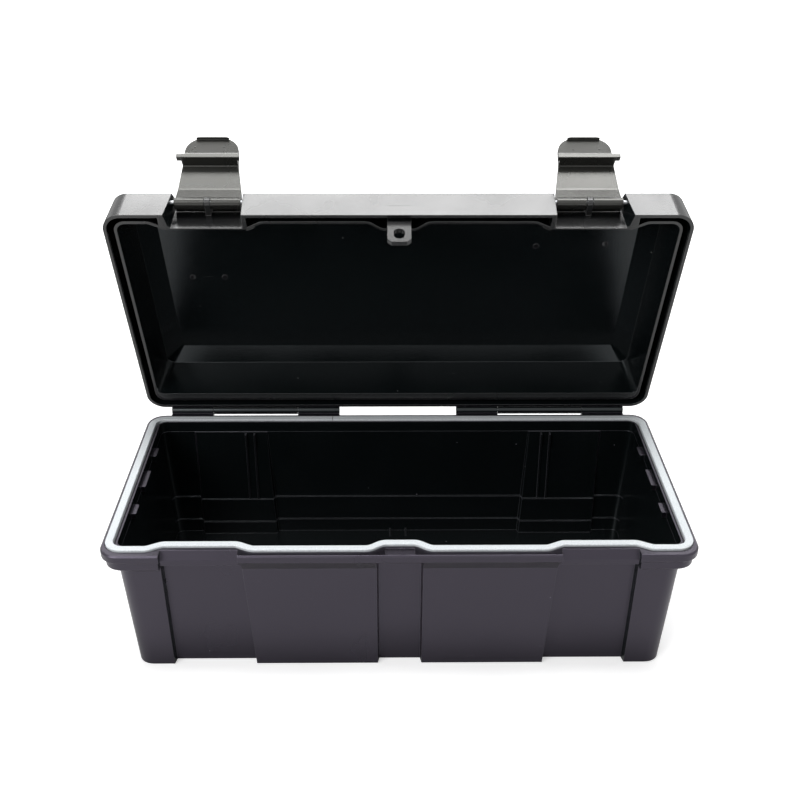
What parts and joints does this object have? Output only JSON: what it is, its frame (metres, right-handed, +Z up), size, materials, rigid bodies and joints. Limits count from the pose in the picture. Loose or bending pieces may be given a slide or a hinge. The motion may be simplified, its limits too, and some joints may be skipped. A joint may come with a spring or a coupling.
{
  "type": "toolbox",
  "caption": "Open moulded plastic toolbox with a hinged lid, rim seal, over-the-lip latches and a padlock tab.",
  "frame": {"origin": "middle of the tub's flat underside", "axes": "+X to the right along the box, -Y out of the front with the latches, +Z up"},
  "size_m": [0.55, 0.3009, 0.4467],
  "materials": {
    "shell": "fine grained moulding",
    "latches": "satin moulding",
    "seal": "soft closed-cell strip",
    "pins": "drawn wire"
  },
  "bodies": {
    "tub": {"base_tub": "shell", "rim_seal": "seal", "hinge_pin_left": "pins", "hinge_pin_right": "pins"},
    "lid": {"lid": "shell", "latch_pin_left": "pins", "latch_pin_right": "pins"},
    "latch_left": {"latch_left": "latches"},
    "latch_right": {"latch_right": "latches"}
  },
  "joints": [
    {"name": "lid_hinge", "type": "hinge", "parent": "tub", "child": "lid", "pos_m": [0, 0.1395, 0.145], "axis": [1, 0, 0], "range_deg": [-30, 70]},
    {"name": "latch_left_hinge", "type": "hinge", "parent": "lid", "child": "latch_left", "pos_m": [-0.1795, 0.07375, 0.40254], "axis": [1, 0, 0], "range_deg": [0, 160]},
    {"name": "latch_right_hinge", "type": "hinge", "parent": "lid", "child": "latch_right", "pos_m": [0.1795, 0.07375, 0.40254], "axis": [1, 0, 0], "range_deg": [0, 160]}
  ]
}
